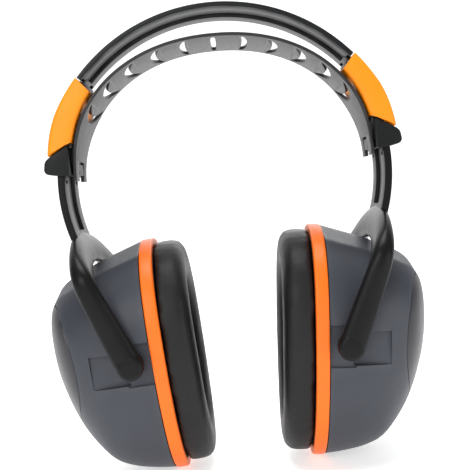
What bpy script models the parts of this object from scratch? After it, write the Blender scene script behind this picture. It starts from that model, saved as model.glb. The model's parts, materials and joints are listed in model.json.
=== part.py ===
"""Earmuff hearing protector, as the separate pieces that it comes apart into.

The origin is the point of the strap's underside that rests on the crown of the head.
+X is one ear, +Z is up and -Y is the front. Lengths in the constants are millimetres.
The shapes below are drawn about the centre of the headband's arc, which is under the origin.
"""

import bisect
import math

import bmesh
import bpy
from mathutils import Matrix, Vector

MM = 0.001
SIDES = (("left", -1), ("right", 1))

# Headband: a shallow channel, open towards the head. Angles are from straight up.
BAND_OUTER_R = 80.8
BAND_INNER_R = 78.3
BAND_FLOOR_R = 79.5
BAND_HALF_WIDTH = 17.5
BAND_CHANNEL_HALF = 7.5
BAND_END = 49.0
BAND_RIB = 1.4
TONGUE_OUTER_R = 79.0
TONGUE_INNER_R = 76.9
TONGUE_HALF_WIDTH = 15.5
TONGUE_END = 61.0

# Strap: a superellipse arch of its outer face, which ends upright beside the housings
STRAP_APEX_Z = 66.2
STRAP_SPRING_Z = 8.0
STRAP_HALF_SPAN = 66.5
STRAP_POWER = 2.15
STRAP_THICKNESS = 1.5
STRAP_STEPS = 53
STRAP_HALF_WIDTH = 21.0
STRAP_END_HALF_WIDTH = 14.0
STRAP_TAPER = 34.0
STRAP_SLOTS_EACH_SIDE = 5
STRAP_SLOT_PITCH = 13.4
STRAP_SLOT_WIDTH = 2.2
STRAP_SLOT_WIDENING = 0.25
STRAP_SLOT_HALF = 17.0
STRAP_SLOT_BOW = 6.0
STRAP_SLOT_BOW_EASE = 3.5
STRAP_SLOT_STEPS = 9
STRAP_NOTCH_HALF = 6.0
STRAP_NOTCH_HEIGHT = 8.5

# Slide: the stems run on an arc about an axis just above the headband's centre
SLIDE_CENTRE_Z = 5.0
STEM_OUTER_R = 73.0
STEM_INNER_R = 69.8
STEM_FLOOR_R = 71.2
STEM_HALF_WIDTH = 17.5
STEM_CHANNEL_HALF = 7.5
STEM_TOP = 67.0
STEM_LEDGE = 105.5
STEM_BOTTOM = 109.0
SLIDE_CLEARANCE = 0.35

# Sleeve: the moulding that covers the joint between the headband and a stem
SLEEVE_HALF_WIDTH = 19.5
SLEEVE_WALL = 1.5
SLEEVE_INNER_WALL = 1.1
SLEEVE_TOP = (49.3, 50.3)
SLEEVE_BOTTOM = (75.6, 69.4)
SLEEVE_BEND = 60.0
SLEEVE_DRAW_IN = 2.9
SLEEVE_STEPS = 12

# Housing: the clamp that a stem slides through, with a thumb lip outside
HOUSING_OUTLINE = (
    (66.9, 23.3),
    (75.8, 18.5),
    (77.3, 17.0),
    (77.9, 13.2),
    (76.9, 11.6),
    (73.9, 10.9),
    (66.9, 10.3),
)
HOUSING_HALF_WIDTH = 20.2
HOUSING_EDGE = 0.5
TAB_HALF_WIDTH = 5.6
TAB_Z = (10.6, 15.6)
TAB_INNER_X = 64.9
SPRING_PATH = ((74.9, 13.0), (72.9, 15.5), (74.5, 18.0))
SPRING_THICKNESS = 0.5
SPRING_HALF_WIDTH = 6.0
SPRING_POCKET = ((72.0, 12.6), (75.5, 18.4))

# Yoke: the fork under a stem, in a plane that leans in towards the cup's pivot
PIVOT_X = 45.3
PIVOT_Z = -70.6
YOKE_LEAN = math.radians(24.4)
ARM_Y = (41.7, 46.6)
ARM_END_R = 5.6
BOSS_R = 5.1
BOSS_INNER_Y = 38.2
STUD_R = 2.8
STUD_INNER_Y = 35.2
FORK_SIDES = 12
FORK_STATIONS = (
    # out from the middle, up from the pivot, offset outward, breadth, thickness
    (44.15, 0.0, 0.0, 11.2, 4.9),
    (44.15, 20.0, 0.0, 10.2, 4.9),
    (44.0, 34.5, -0.1, 9.4, 5.6),
    (40.9, 40.9, -0.4, 9.0, 10.4),
    (33.0, 45.2, -0.9, 7.8, 14.8),
    (19.0, 50.6, -1.6, 6.4, 14.6),
    (0.0, 53.0, -1.9, 5.8, 14.8),
)

# Cup: stations are (depth outward, top, bottom, half width), about the pivot
CUP_TILT = math.radians(4.2)
EGG_WIDEST = 0.40
EGG_TOP_POWER = 2.4
EGG_BOTTOM_POWER = 2.1
EGG_STEPS = 32
SHELL_STATIONS = (
    (-8.2, 48.7, -53.7, 40.7),
    (0.0, 46.3, -52.6, 40.2),
    (9.7, 43.4, -50.2, 39.2),
    (17.6, 40.4, -45.8, 37.4),
    (25.0, 37.3, -36.0, 34.2),
    (29.8, 34.2, -26.2, 29.7),
    (33.2, 29.4, -16.2, 23.5),
    (35.3, 23.6, -8.6, 16.5),
    (36.2, 15.0, -1.0, 8.0),
)
SHELL_WALL = 2.4
# How far the hollow is set back and in from the outside, at each station
HOLLOW_OFFSETS = (
    (0.0, 2.4),
    (-0.2, 2.4),
    (-0.2, 2.4),
    (-0.2, 2.4),
    (-0.9, 2.2),
    (-0.9, 2.2),
    (-0.9, 2.2),
    (-2.4, 0.6),
    (-2.4, 0.6),
)
PANEL_DEPTH = 1.3
PANEL_THICKNESS = 1.0
PANEL_GAP = 0.3
PANEL_OUTLINE = (
    (0, -29.5),
    (10, -28),
    (22, -22),
    (30, -13),
    (33.6, -2),
    (33.4, 11),
    (29.5, 21.5),
    (22, 27.2),
    (13, 26),
    (5, 20),
    (0, 16.5),
)
PANEL_CUT_DEPTHS = (18.0, 45.0)
POCKET_FLOOR_Y = 37.8
POCKETS = (
    # floor, depth outward, height
    (POCKET_FLOOR_Y, (-9.5, 2.5), (-9.3, 8.5)),
    (36.0, (1.5, 17.5), (-8.5, 5.5)),
)
PAD_INNER_Y = 34.7
PAD_END_DEPTH = 19.0
PAD_Z = (-10.5, 10.0)
SOCKET_R = 3.15
SOCKET_END_Y = 34.8
SOCKET_BOSS_R = 5.5
SOCKET_BOSS_Y = 33.6

# What is on the head's side of a cup: (inset from the trim ring's outline, depth) sections
RING_OUTLINE = (49.2, -54.1, 41.2)
TRIM_SECTION = ((0.7, -14.0), (0.1, -13.3), (0.0, -9.2), (0.6, -8.5), (3.8, -8.5), (3.8, -14.0))
PLATE_SECTION = ((4.1, -13.9), (4.1, -11.4), (21.5, -11.4), (21.5, -13.9))
CUSHION_OUTER = (
    (2.4, -14.3),
    (2.0, -17.0),
    (2.1, -21.4),
    (3.3, -24.9),
    (6.8, -26.8),
    (13.6, -26.8),
    (17.6, -25.4),
    (20.0, -22.4),
    (20.7, -18.5),
    (20.5, -14.3),
)
COVER_THICKNESS = 0.9
CUSHION_MIDDLE = (11.5, -18.5)
FOAM_GAP = 0.35
LINER_GAP = 0.7
LINER_DEPTH = 5.6
LINER_SIDE = 4.2
LINER_FIRST_STATION = 3

CROWN_HEIGHT = STRAP_APEX_Z - STRAP_THICKNESS

COLOURS = {
    "charcoal_plastic": ((0.035, 0.036, 0.039), 0.28, 0.0),
    "grey_flex_plastic": ((0.05, 0.05, 0.052), 0.42, 0.0),
    "orange_plastic": ((1.0, 0.30, 0.015), 0.35, 0.0),
    "orange_ring_plastic": ((0.93, 0.16, 0.02), 0.35, 0.0),
    "black_plastic": ((0.016, 0.017, 0.018), 0.3, 0.0),
    "slate_plastic": ((0.067, 0.075, 0.090), 0.45, 0.0),
    "panel_plastic": ((0.055, 0.056, 0.072), 0.35, 0.0),
    "black_vinyl": ((0.012, 0.012, 0.014), 0.5, 0.0),
    "grey_foam": ((0.09, 0.09, 0.095), 0.9, 0.0),
    "spring_steel": ((0.55, 0.55, 0.56), 0.3, 1.0),
}


# Scene, materials and objects


def clear_scene():
    for old in list(bpy.data.objects):
        bpy.data.objects.remove(old, do_unlink=True)


def make_collection(name):
    collection = bpy.data.collections.new(name)
    bpy.context.scene.collection.children.link(collection)
    return collection


def make_material(name):
    colour, roughness, metallic = COLOURS[name]
    material = bpy.data.materials.new(name)
    material.use_nodes = True
    shader = material.node_tree.nodes["Principled BSDF"]
    shader.inputs["Base Color"].default_value = (*colour, 1)
    shader.inputs["Roughness"].default_value = roughness
    shader.inputs["Metallic"].default_value = metallic
    return material


def make_empty(name, place, tilt=0.0, parent=None):
    empty = bpy.data.objects.new(name, None)
    empty.location = Vector(place) * MM
    empty.rotation_euler = (0, tilt, 0)
    empty.parent = parent
    parts.objects.link(empty)
    return empty


def make_object(name, shape, material=None, parent=None):
    """An object from a bmesh in millimetres, faces out. Without a material it is a cutter."""
    bmesh.ops.recalc_face_normals(shape, faces=shape.faces)
    bmesh.ops.scale(shape, vec=(MM, MM, MM), verts=shape.verts)
    mesh = bpy.data.meshes.new(name)
    shape.to_mesh(mesh)
    shape.free()
    piece = bpy.data.objects.new(name, mesh)
    piece.parent = parent
    if material is None:
        cutters.objects.link(piece)
        piece.hide_render = True
        piece.display_type = "WIRE"
    else:
        parts.objects.link(piece)
        mesh.materials.append(materials[material])
        mesh.shade_smooth()
        mesh.set_sharp_from_angle(angle=math.radians(30))
    return piece


def combine(piece, other, operation):
    modifier = piece.modifiers.new(other.name, "BOOLEAN")
    modifier.operation = operation
    modifier.object = other
    return modifier


def round_edges(piece, width, segments=2):
    bevel = piece.modifiers.new("rounded edges", "BEVEL")
    bevel.width = width * MM
    bevel.segments = segments
    bevel.limit_method = "ANGLE"
    bevel.angle_limit = math.radians(35)


# Shapes


def loft(rings, closed=False):
    """A skin over rings of points. Closed joins the last ring to the first, else both ends are capped."""
    shape = bmesh.new()
    rows = [[shape.verts.new(point) for point in ring] for ring in rings]
    pairs = list(zip(rows, rows[1:]))
    if closed:
        pairs.append((rows[-1], rows[0]))
    else:
        shape.faces.new(rows[0])
        shape.faces.new(rows[-1])
    for first, second in pairs:
        for i in range(len(first)):
            j = (i + 1) % len(first)
            shape.faces.new((first[i], first[j], second[j], second[i]))
    return shape


def tube_loft(outer, inner):
    """A hollow skin, open at both ends, between two lofts with the same number of points."""
    return loft(outer + inner[::-1], closed=True)


def box(low, high):
    shape = bmesh.new()
    size = [b - a for a, b in zip(low, high)]
    middle = [(a + b) / 2 for a, b in zip(low, high)]
    bmesh.ops.create_cube(shape, size=1, matrix=Matrix.Translation(middle) @ Matrix.Diagonal((*size, 1)))
    return shape


def cylinder_y(x, z, y_from, y_to, radius, segments=32):
    """A cylinder along Y."""
    shape = bmesh.new()
    place = Matrix.Translation((x, (y_from + y_to) / 2, z)) @ Matrix.Rotation(math.pi / 2, 4, "X")
    bmesh.ops.create_cone(
        shape,
        cap_ends=True,
        segments=segments,
        radius1=radius,
        radius2=radius,
        depth=abs(y_to - y_from),
        matrix=place,
    )
    return shape


def prism_y(outline, y_from, y_to):
    """An outline in X and Z, drawn out along Y."""
    rings = [[(x, y, z) for x, z in outline] for y in (y_from, y_to)]
    return loft(rings)


def on_arc(radius, angle, y, centre_z=0.0):
    """A point of an arc about the Y axis, at an angle in degrees from straight up."""
    turn = math.radians(angle)
    return (radius * math.sin(turn), y, centre_z + radius * math.cos(turn))


def spread(first, last, count):
    return [first + (last - first) * i / (count - 1) for i in range(count)]


def smooth_through(stations, steps):
    """Catmull-Rom points through stations, each a tuple of numbers."""
    ends = [stations[0], *stations, stations[-1]]
    points = []
    for a, b, c, d in zip(ends, ends[1:], ends[2:], ends[3:]):
        for i in range(steps):
            t = i / steps
            points.append(
                tuple(
                    q
                    + 0.5 * (r - p) * t
                    + (p - 2.5 * q + 2 * r - 0.5 * s) * t**2
                    + 0.5 * (3 * q - p - 3 * r + s) * t**3
                    for p, q, r, s in zip(a, b, c, d)
                )
            )
    return [*points, stations[-1]]


def egg(top, bottom, half_width, steps=EGG_STEPS):
    """A closed outline of (y, z) points, broad above and narrower below."""
    widest = top - EGG_WIDEST * (top - bottom)
    points = []
    for i in range(steps):
        turn = 2 * math.pi * i / steps
        across, up = math.sin(turn), math.cos(turn)
        power = EGG_TOP_POWER if up >= 0 else EGG_BOTTOM_POWER
        reach = top - widest if up >= 0 else widest - bottom
        y = half_width * math.copysign(abs(across) ** (2 / power), across)
        z = widest + reach * math.copysign(abs(up) ** (2 / power), up)
        points.append((y, z))
    return points


def around_cup(side, section):
    """A section of (inset, depth) points, carried round the trim ring's outline."""
    top, bottom, half_width = RING_OUTLINE
    rings = []
    for inset, depth in section:
        outline = egg(top - inset, bottom + inset, half_width - inset)
        rings.append([(side * depth, y, z) for y, z in outline])
    return loft(rings, closed=True)


# Headband body


def band_section(angle, outer, inner, floor, half_width):
    """The channel's section at one angle."""
    channel = BAND_CHANNEL_HALF
    corners = (
        (outer, 0),
        (outer - 0.2, half_width - 1.2),
        (outer - 1.0, half_width),
        (inner, half_width),
        (inner, channel),
        (floor, channel),
        (floor, -channel),
        (inner, -channel),
        (inner, -half_width),
        (outer - 1.0, -half_width),
        (outer - 0.2, -half_width + 1.2),
    )
    return [on_arc(radius, angle, y) for radius, y in corners]


def make_outer_headband():
    step = 0.15  # degrees over which the section changes
    tongue = (TONGUE_OUTER_R, TONGUE_INNER_R, TONGUE_INNER_R, TONGUE_HALF_WIDTH)
    root = (BAND_OUTER_R, TONGUE_INNER_R, TONGUE_INNER_R, BAND_HALF_WIDTH)
    channel = (BAND_OUTER_R, BAND_INNER_R, BAND_FLOOR_R, BAND_HALF_WIDTH)
    rib_start = BAND_END - BAND_RIB
    half = [(0.0, channel)]
    half += [(angle, channel) for angle in spread(3.5, rib_start - step, 13)]
    half += [(rib_start, root), (BAND_END - step, root), (BAND_END, tongue)]
    half += [(angle, tongue) for angle in spread(BAND_END + 4, TONGUE_END, 3)]
    mirrored = [(-angle, section) for angle, section in reversed(half[1:])]
    rings = [band_section(angle, *section) for angle, section in mirrored + half]
    make_object("outer_headband", loft(rings), "charcoal_plastic", band_centre)


def strap_arch():
    """Points along the strap's outer face, from one end to the other."""
    fine = []
    for i in range(721):
        turn = math.pi * (i / 720 - 0.5)
        x = STRAP_HALF_SPAN * math.copysign(abs(math.sin(turn)) ** (2 / STRAP_POWER), turn)
        z = (STRAP_APEX_Z - STRAP_SPRING_Z) * math.cos(turn) ** (2 / STRAP_POWER)
        fine.append(Vector((x, 0, STRAP_SPRING_Z + z)))
    return fine


def arc_lengths(points):
    lengths = [0.0]
    for a, b in zip(points, points[1:]):
        lengths.append(lengths[-1] + (b - a).length)
    return lengths


def strap_half_width(from_end):
    """Half the strap's width, at a distance from its nearer end."""
    share = min(from_end / STRAP_TAPER, 1.0)
    eased = share * share * (3 - 2 * share)
    return STRAP_END_HALF_WIDTH + (STRAP_HALF_WIDTH - STRAP_END_HALF_WIDTH) * eased


def slot_outline(number):
    """A crescent slot with thin ends, straight in the middle of the strap and rounder towards its ends."""
    bow = STRAP_SLOT_BOW * math.tanh(number / STRAP_SLOT_BOW_EASE)
    width = STRAP_SLOT_WIDTH + STRAP_SLOT_WIDENING * abs(number)
    near, far = [], []
    for y in spread(-STRAP_SLOT_HALF, STRAP_SLOT_HALF, STRAP_SLOT_STEPS):
        share = abs(y) / STRAP_SLOT_HALF
        middle = bow * (0.5 - share**2.4)
        half = width * (1 - 0.55 * share**4) / 2
        near.append((middle - half, y))
        far.append((middle + half, y))
    return near + far[::-1]


def strap_frame(arch, lengths, along):
    """The arch's place, tangent and inward normal at a length along it."""
    i = min(max(bisect.bisect_left(lengths, along), 1), len(arch) - 1)
    share = (along - lengths[i - 1]) / (lengths[i] - lengths[i - 1])
    tangent = (arch[i] - arch[i - 1]).normalized()
    return arch[i - 1].lerp(arch[i], share), tangent, Vector((tangent.z, 0, -tangent.x))


def make_inner_strap():
    arch = strap_arch()
    lengths = arc_lengths(arch)
    total = lengths[-1]
    rings = []
    for along in spread(0, total, STRAP_STEPS):
        place, _, inward = strap_frame(arch, lengths, along)
        half = strap_half_width(min(along, total - along))
        corners = ((0.0, -half), (0.0, half), (STRAP_THICKNESS, half), (STRAP_THICKNESS, -half))
        rings.append([place + inward * depth + Vector((0, y, 0)) for depth, y in corners])
    strap = make_object("inner_strap", loft(rings), "grey_flex_plastic", band_centre)
    for number in range(-STRAP_SLOTS_EACH_SIDE, STRAP_SLOTS_EACH_SIDE + 1):
        along = total / 2 + number * STRAP_SLOT_PITCH
        place, tangent, inward = strap_frame(arch, lengths, along)
        outline = slot_outline(number)
        prism = []
        for depth in (-3.0, 4.0):
            prism.append([place + inward * depth + tangent * x + Vector((0, y, 0)) for x, y in outline])
        slot = make_object(f"strap_slot_{number + STRAP_SLOTS_EACH_SIDE}", loft(prism), parent=band_centre)
        combine(strap, slot, "DIFFERENCE")
    for side_name, side in SIDES:
        x = sorted((side * (STRAP_HALF_SPAN - 4), side * (STRAP_HALF_SPAN + 2)))
        low = (x[0], -STRAP_NOTCH_HALF, STRAP_SPRING_Z - 2)
        high = (x[1], STRAP_NOTCH_HALF, STRAP_SPRING_Z + STRAP_NOTCH_HEIGHT)
        notch = make_object(f"{side_name}_strap_notch", box(low, high), parent=band_centre)
        combine(strap, notch, "DIFFERENCE")


def sleeve_ring(side, angles, hollow):
    """The section of the sleeve's outside or of its hollow, at the angles of its outer and inner face."""
    middle = sum(angles) / 2
    bend = max(0.0, middle - SLEEVE_BEND) / (SLEEVE_BOTTOM[0] - SLEEVE_BEND)
    outer = BAND_OUTER_R - SLEEVE_DRAW_IN * bend**1.5
    tunnel = STEM_INNER_R - SLIDE_CLEARANCE + SLIDE_CENTRE_Z * math.cos(math.radians(middle))
    inner = tunnel - SLEEVE_INNER_WALL
    half = SLEEVE_HALF_WIDTH
    corner = 1.2
    if hollow:
        outer, inner, half = outer - SLEEVE_WALL, tunnel, STEM_HALF_WIDTH + SLIDE_CLEARANCE
        corner = 0.4
    section = (
        (outer, half - corner),
        (outer - corner, half),
        (inner + corner / 2, half),
        (inner, half - corner / 2),
        (inner, -half + corner / 2),
        (inner + corner / 2, -half),
        (outer - corner, -half),
        (outer, -half + corner),
    )
    thickness = outer - inner
    ring = []
    for radius, y in section:
        share = (radius - inner) / thickness
        angle = angles[1] + (angles[0] - angles[1]) * share
        x, _, z = on_arc(radius, angle, y)
        ring.append((side * x, y, z))
    return ring


def make_sleeve(name, side):
    outer_angles = spread(SLEEVE_TOP[0], SLEEVE_BOTTOM[0], SLEEVE_STEPS)
    angles = list(zip(outer_angles, spread(SLEEVE_TOP[1], SLEEVE_BOTTOM[1], SLEEVE_STEPS)))
    outer = [sleeve_ring(side, pair, hollow=False) for pair in angles]
    inner = [sleeve_ring(side, pair, hollow=True) for pair in angles]
    make_object(f"{name}_sleeve", tube_loft(outer, inner), "orange_plastic", band_centre)


def stem_block(side, inner, outer, half_width, first, last, steps):
    """A curved block about the slide axis, drawn about the headband's centre."""
    rings = []
    for angle in spread(first, last, steps):
        ring = [
            on_arc(radius, angle, y, SLIDE_CENTRE_Z)
            for radius, y in (
                (inner, -half_width),
                (outer, -half_width),
                (outer, half_width),
                (inner, half_width),
            )
        ]
        rings.append([(side * x, y, z) for x, y, z in ring])
    return loft(rings)


def make_housing(name, side):
    outline = [(side * x, z) for x, z in HOUSING_OUTLINE]
    housing = make_object(
        f"{name}_slider_housing",
        prism_y(outline, -HOUSING_HALF_WIDTH, HOUSING_HALF_WIDTH),
        "black_plastic",
        band_centre,
    )
    round_edges(housing, HOUSING_EDGE)
    tab_x = sorted((side * TAB_INNER_X, side * (HOUSING_OUTLINE[0][0] + 1.0)))
    tab = box((tab_x[0], -TAB_HALF_WIDTH, TAB_Z[0]), (tab_x[1], TAB_HALF_WIDTH, TAB_Z[1]))
    combine(housing, make_object(f"{name}_tab", tab, parent=band_centre), "UNION")
    clear = SLIDE_CLEARANCE
    tunnel = stem_block(
        side,
        STEM_INNER_R - clear,
        STEM_OUTER_R + clear,
        STEM_HALF_WIDTH + clear,
        60,
        100,
        21,
    )
    combine(housing, make_object(f"{name}_tunnel", tunnel, parent=band_centre), "DIFFERENCE")
    (x_low, z_low), (x_high, z_high) = SPRING_POCKET
    pocket_x = sorted((side * x_low, side * x_high))
    half = SPRING_HALF_WIDTH + clear
    pocket = box((pocket_x[0], -half, z_low), (pocket_x[1], half, z_high))
    combine(housing, make_object(f"{name}_spring_pocket", pocket, parent=band_centre), "DIFFERENCE")


def make_detent_spring(name, side):
    """A bent leaf that clicks into the notches of the stem's rails."""
    inner = [(side * x, z) for x, z in SPRING_PATH]
    outer = [(side * (x + SPRING_THICKNESS), z) for x, z in reversed(SPRING_PATH)]
    leaf = prism_y(inner + outer, -SPRING_HALF_WIDTH, SPRING_HALF_WIDTH)
    make_object(f"{name}_detent_spring", leaf, "spring_steel", band_centre)


# Yoke body


def fork_rings(side):
    """Sections of the fork, from one pivot over the cup to the other."""
    up = Vector((math.sin(YOKE_LEAN), 0, math.cos(YOKE_LEAN)))
    out = Vector((math.cos(YOKE_LEAN), 0, -math.sin(YOKE_LEAN)))
    half = smooth_through(FORK_STATIONS, 3)
    front = [(-y, *rest) for y, *rest in half]
    path = front + half[-2::-1]
    rings = []
    for i, (y, q, n, breadth, thickness) in enumerate(path):
        before = path[max(i - 1, 0)]
        after = path[min(i + 1, len(path) - 1)]
        along = (Vector((0, after[0] - before[0], 0)) + up * (after[1] - before[1])).normalized()
        across = along.cross(out)
        centre = Vector((PIVOT_X, y, PIVOT_Z)) + up * q + out * n
        ring = []
        for k in range(FORK_SIDES):
            turn = 2 * math.pi * k / FORK_SIDES
            c, s = math.cos(turn), math.sin(turn)
            a = math.copysign(abs(c) ** 0.6, c) * breadth / 2
            b = math.copysign(abs(s) ** 0.6, s) * thickness / 2
            point = centre + out * a + across * b
            ring.append((side * point.x, point.y, point.z - SLIDE_CENTRE_Z))
        rings.append(ring)
    return rings


def stem_rings(side):
    """The stem's channel section, from its hidden top end down into the fork."""
    rings = []
    angles = [STEM_TOP, *spread(STEM_TOP + 2, STEM_LEDGE, 17), STEM_LEDGE + 0.2, STEM_BOTTOM]
    for angle in angles:
        floor = STEM_FLOOR_R if STEM_TOP < angle <= STEM_LEDGE else STEM_INNER_R
        section = (
            (STEM_OUTER_R, -STEM_HALF_WIDTH + 1.0),
            (STEM_OUTER_R, STEM_HALF_WIDTH - 1.0),
            (STEM_OUTER_R - 0.9, STEM_HALF_WIDTH),
            (STEM_INNER_R, STEM_HALF_WIDTH),
            (STEM_INNER_R, STEM_CHANNEL_HALF),
            (floor, STEM_CHANNEL_HALF - 0.2),
            (floor, -STEM_CHANNEL_HALF + 0.2),
            (STEM_INNER_R, -STEM_CHANNEL_HALF),
            (STEM_INNER_R, -STEM_HALF_WIDTH),
            (STEM_OUTER_R - 0.9, -STEM_HALF_WIDTH),
        )
        ring = [on_arc(radius, angle, y) for radius, y in section]
        rings.append([(side * x, y, z) for x, y, z in ring])
    return rings


def make_yoke(name, side, slide_axis):
    yoke = make_object(f"{name}_yoke", loft(fork_rings(side)), "black_plastic", slide_axis)
    stem = make_object(f"{name}_stem", loft(stem_rings(side)), parent=slide_axis)
    combine(yoke, stem, "UNION")
    x = side * PIVOT_X
    z = PIVOT_Z - SLIDE_CENTRE_Z
    for end, sign in (("front", -1), ("rear", 1)):
        rounds = (
            ("end", ARM_Y[0], ARM_Y[1], ARM_END_R),
            ("boss", BOSS_INNER_Y, ARM_Y[0] + 0.5, BOSS_R),
            ("stud", STUD_INNER_Y, BOSS_INNER_Y + 0.5, STUD_R),
        )
        for label, inner, outer, radius in rounds:
            shape = cylinder_y(x, z, sign * inner, sign * outer, radius)
            combine(yoke, make_object(f"{name}_{end}_{label}", shape, parent=slide_axis), "UNION")


# Cup body


def cup_skin(side, stations, shift=0.0, inset=0.0):
    return [
        [(side * (depth + shift), y, z) for y, z in egg(top - inset, bottom + inset, half - inset)]
        for depth, top, bottom, half in stations
    ]


def closed_cup(side, shift=0.0):
    """The cup's outer shape as a solid, for cutting with."""
    return loft(cup_skin(side, SHELL_STATIONS, shift))


def panel_prism(side, grow):
    """The decorative panel's outline, drawn out along the cup's depth."""
    half = smooth_through(PANEL_OUTLINE, 3)
    outline = half + [(-y, z) for y, z in reversed(half[1:-1])]
    middle_z = sum(z for _, z in outline) / len(outline)
    rings = []
    for depth in PANEL_CUT_DEPTHS:
        ring = []
        for y, z in outline:
            reach = math.hypot(y, z - middle_z)
            scale = (reach + grow) / reach
            ring.append((side * depth, y * scale, middle_z + (z - middle_z) * scale))
        rings.append(ring)
    return loft(rings)


def make_cup_shell(name, side, pivot):
    outer = cup_skin(side, SHELL_STATIONS)
    inner = [
        cup_skin(side, [station], shift, inset)[0]
        for station, (shift, inset) in zip(SHELL_STATIONS, HOLLOW_OFFSETS)
    ]
    wall = loft(outer[::-1] + inner)
    shell = make_object(f"{name}_cup_shell", wall, "slate_plastic", pivot)
    inside = loft(cup_skin(side, SHELL_STATIONS, 0.0, SHELL_WALL / 2))
    inside = make_object(f"{name}_inside_of_wall", inside, parent=pivot)
    for end, sign in (("front", -1), ("rear", 1)):
        label = f"{name}_{end}"
        y_range = sorted((sign * PAD_INNER_Y, sign * (POCKET_FLOOR_Y + 1.0)))
        x_range = sorted((side * SHELL_STATIONS[0][0], side * PAD_END_DEPTH))
        pad = box((x_range[0], y_range[0], PAD_Z[0]), (x_range[1], y_range[1], PAD_Z[1]))
        pad = make_object(f"{label}_pad", pad, parent=pivot)
        combine(pad, inside, "INTERSECT")
        combine(shell, pad, "UNION")
        boss = cylinder_y(0, 0, sign * SOCKET_BOSS_Y, sign * (PAD_INNER_Y + 0.5), SOCKET_BOSS_R)
        combine(shell, make_object(f"{label}_socket_boss", boss, parent=pivot), "UNION")
        for number, (floor, (d_low, d_high), (z_low, z_high)) in enumerate(POCKETS):
            y_range = sorted((sign * floor, sign * (floor + 8)))
            x_range = sorted((side * d_low, side * d_high))
            pocket = box((x_range[0], y_range[0], z_low), (x_range[1], y_range[1], z_high))
            combine(shell, make_object(f"{label}_pocket_{number}", pocket, parent=pivot), "DIFFERENCE")
        socket = cylinder_y(0, 0, sign * SOCKET_END_Y, sign * (POCKET_FLOOR_Y + 1), SOCKET_R)
        combine(shell, make_object(f"{label}_socket", socket, parent=pivot), "DIFFERENCE")
    recess = make_object(f"{name}_panel_recess", panel_prism(side, PANEL_GAP), parent=pivot)
    under = make_object(f"{name}_under_recess", closed_cup(side, -PANEL_DEPTH), parent=pivot)
    combine(recess, under, "DIFFERENCE")
    combine(shell, recess, "DIFFERENCE")


def make_cup_panel(name, side, pivot):
    panel = make_object(f"{name}_cup_panel", panel_prism(side, 0.0), "panel_plastic", pivot)
    outside = make_object(f"{name}_panel_outside", closed_cup(side), parent=pivot)
    inside = make_object(f"{name}_panel_inside", closed_cup(side, -PANEL_THICKNESS), parent=pivot)
    combine(panel, outside, "INTERSECT")
    combine(panel, inside, "DIFFERENCE")


def make_foam_liner(name, side, pivot):
    """Open-cell foam that lines the far end of the cup."""
    stations = SHELL_STATIONS[LINER_FIRST_STATION:]
    gap = SHELL_WALL + LINER_GAP
    outer = cup_skin(side, stations[:-1], -gap, gap)
    inner = cup_skin(side, stations[:-2], -gap - LINER_DEPTH, gap + LINER_SIDE)
    make_object(f"{name}_foam_liner", loft(outer[::-1] + inner), "grey_foam", pivot)


def towards_middle(section, distance):
    """A cushion section drawn in towards its middle by a distance."""
    middle = Vector(CUSHION_MIDDLE)
    drawn = []
    for point in section:
        step = middle - Vector(point)
        drawn.append(tuple(Vector(point) + step.normalized() * distance))
    return drawn


def inside_cushion(distance):
    """The cushion's section drawn in by a distance everywhere but at its open back."""
    first, *between, last = CUSHION_OUTER
    ends = (first[0] + distance, first[1]), (last[0] - distance, last[1])
    return [ends[0], *towards_middle(between, distance), ends[1]]


def make_cushion(name, side, pivot):
    cover = list(CUSHION_OUTER) + inside_cushion(COVER_THICKNESS)[::-1]
    make_object(f"{name}_cushion_cover", around_cup(side, cover), "black_vinyl", pivot)
    core = inside_cushion(COVER_THICKNESS + FOAM_GAP)
    make_object(f"{name}_cushion_foam", around_cup(side, core), "grey_foam", pivot)


def make_cup(name, side, pivot):
    make_cup_shell(name, side, pivot)
    make_cup_panel(name, side, pivot)
    make_foam_liner(name, side, pivot)
    make_object(f"{name}_trim_ring", around_cup(side, TRIM_SECTION), "orange_ring_plastic", pivot)
    make_object(f"{name}_cushion_plate", around_cup(side, PLATE_SECTION), "black_plastic", pivot)
    make_cushion(name, side, pivot)


clear_scene()
parts = make_collection("earmuff_hearing_protector")
cutters = make_collection("cutters")
materials = {name: make_material(name) for name in COLOURS}
band_centre = make_empty("headband_centre", (0, 0, -CROWN_HEIGHT))
make_outer_headband()
make_inner_strap()
for side_name, side_sign in SIDES:
    make_sleeve(side_name, side_sign)
    make_housing(side_name, side_sign)
    make_detent_spring(side_name, side_sign)
    axis = make_empty(f"{side_name}_slide_axis", (0, 0, SLIDE_CENTRE_Z), parent=band_centre)
    make_yoke(side_name, side_sign, axis)
    pivot_place = (side_sign * PIVOT_X, 0, PIVOT_Z - SLIDE_CENTRE_Z)
    cup_pivot = make_empty(f"{side_name}_cup_pivot", pivot_place, side_sign * CUP_TILT, axis)
    make_cup(side_name, side_sign, cup_pivot)
bpy.context.view_layer.update()
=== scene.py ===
import json
import math

import bmesh
import bpy
from mathutils import Matrix, Vector, noise


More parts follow.
